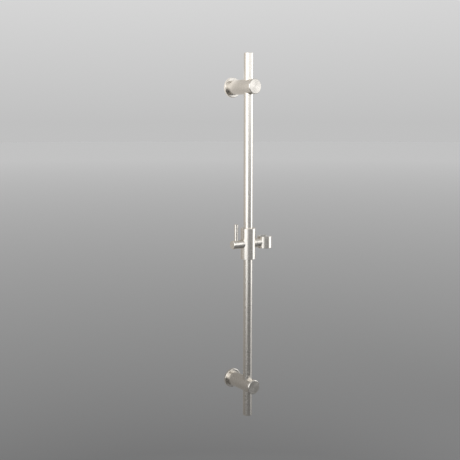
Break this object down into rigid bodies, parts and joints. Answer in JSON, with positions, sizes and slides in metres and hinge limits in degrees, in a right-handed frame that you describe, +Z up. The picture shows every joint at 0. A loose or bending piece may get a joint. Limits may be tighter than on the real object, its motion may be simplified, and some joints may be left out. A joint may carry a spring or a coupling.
{
  "type": "shower slide bar",
  "caption": "Wall-mounted round shower slide bar on two round posts, with a lever-locked sliding sleeve and a tilting hose-cone holder.",
  "frame": {"origin": "on the wall plane, midway between the two posts, at the centre of the four wall screw holes", "axes": "+X to the right along the wall, +Y into the wall (the room is at -Y), +Z up along the bar"},
  "size_m": [0.0964, 0.08, 0.76],
  "materials": {
    "brushed_nickel": "brushed nickel plate",
    "zinc_plate": "zinc plated",
    "screw_steel": "stainless steel",
    "white_nylon": "natural nylon",
    "grey_plastic": "moulded grey plastic",
    "black_rubber": "soft rubber"
  },
  "bodies": {
    "rail": {"bar_tube": "brushed_nickel", "bar_top_plug": "brushed_nickel", "bar_bottom_plug": "brushed_nickel", "upper_wall_plate": "zinc_plate", "upper_flange": "brushed_nickel", "upper_post": "brushed_nickel", "upper_post_grub_screw": "screw_steel", "upper_bar_pad": "white_nylon", "upper_bar_screw": "screw_steel", "upper_front_cap": "brushed_nickel", "upper_cap_ring": "black_rubber", "lower_wall_plate": "zinc_plate", "lower_flange": "brushed_nickel", "lower_post": "brushed_nickel", "lower_post_grub_screw": "screw_steel", "lower_bar_pad": "white_nylon", "lower_bar_screw": "screw_steel", "lower_front_cap": "brushed_nickel", "lower_cap_ring": "black_rubber"},
    "bushes": {"upper_bush": "white_nylon", "lower_bush": "white_nylon"},
    "slider": {"slider_sleeve": "brushed_nickel", "upper_end_ring": "brushed_nickel", "lower_end_ring": "brushed_nickel", "pivot_screw": "screw_steel", "wave_washer": "screw_steel", "friction_washer": "grey_plastic"},
    "brake": {"brake_pad": "white_nylon"},
    "lever": {"clamp_spindle": "screw_steel", "lever_knob": "brushed_nickel", "lever_stick": "brushed_nickel", "knob_grub_screw": "screw_steel"},
    "holder": {"holder_clip": "brushed_nickel", "holder_liner": "grey_plastic"}
  },
  "joints": [
    {"name": "slider_slide", "type": "slide", "parent": "rail", "child": "bushes", "axis": [0, 0, 1], "range_m": [-0.256, 0.272]},
    {"name": "slider_swivel", "type": "hinge", "parent": "bushes", "child": "slider", "pos_m": [0, -0.057, -0.008], "axis": [0, 0, 1], "range_deg": [-45, 45]},
    {"name": "brake_slide", "type": "slide", "parent": "slider", "child": "brake", "axis": [-1, 0, 0], "range_m": [0, 0.00025]},
    {"name": "lever_turn", "type": "hinge", "parent": "brake", "child": "lever", "pos_m": [-0.03, -0.057, -0.008], "axis": [1, 0, 0], "range_deg": [0, 90]},
    {"name": "holder_tilt", "type": "hinge", "parent": "slider", "child": "holder", "pos_m": [0.0183, -0.057, -0.008], "axis": [1, 0, 0], "range_deg": [-60, 60]}
  ],
  "couplings": [
    {"joint": "lever_turn", "follows": "brake_slide", "rad_per_m": 6283.2}
  ]
}
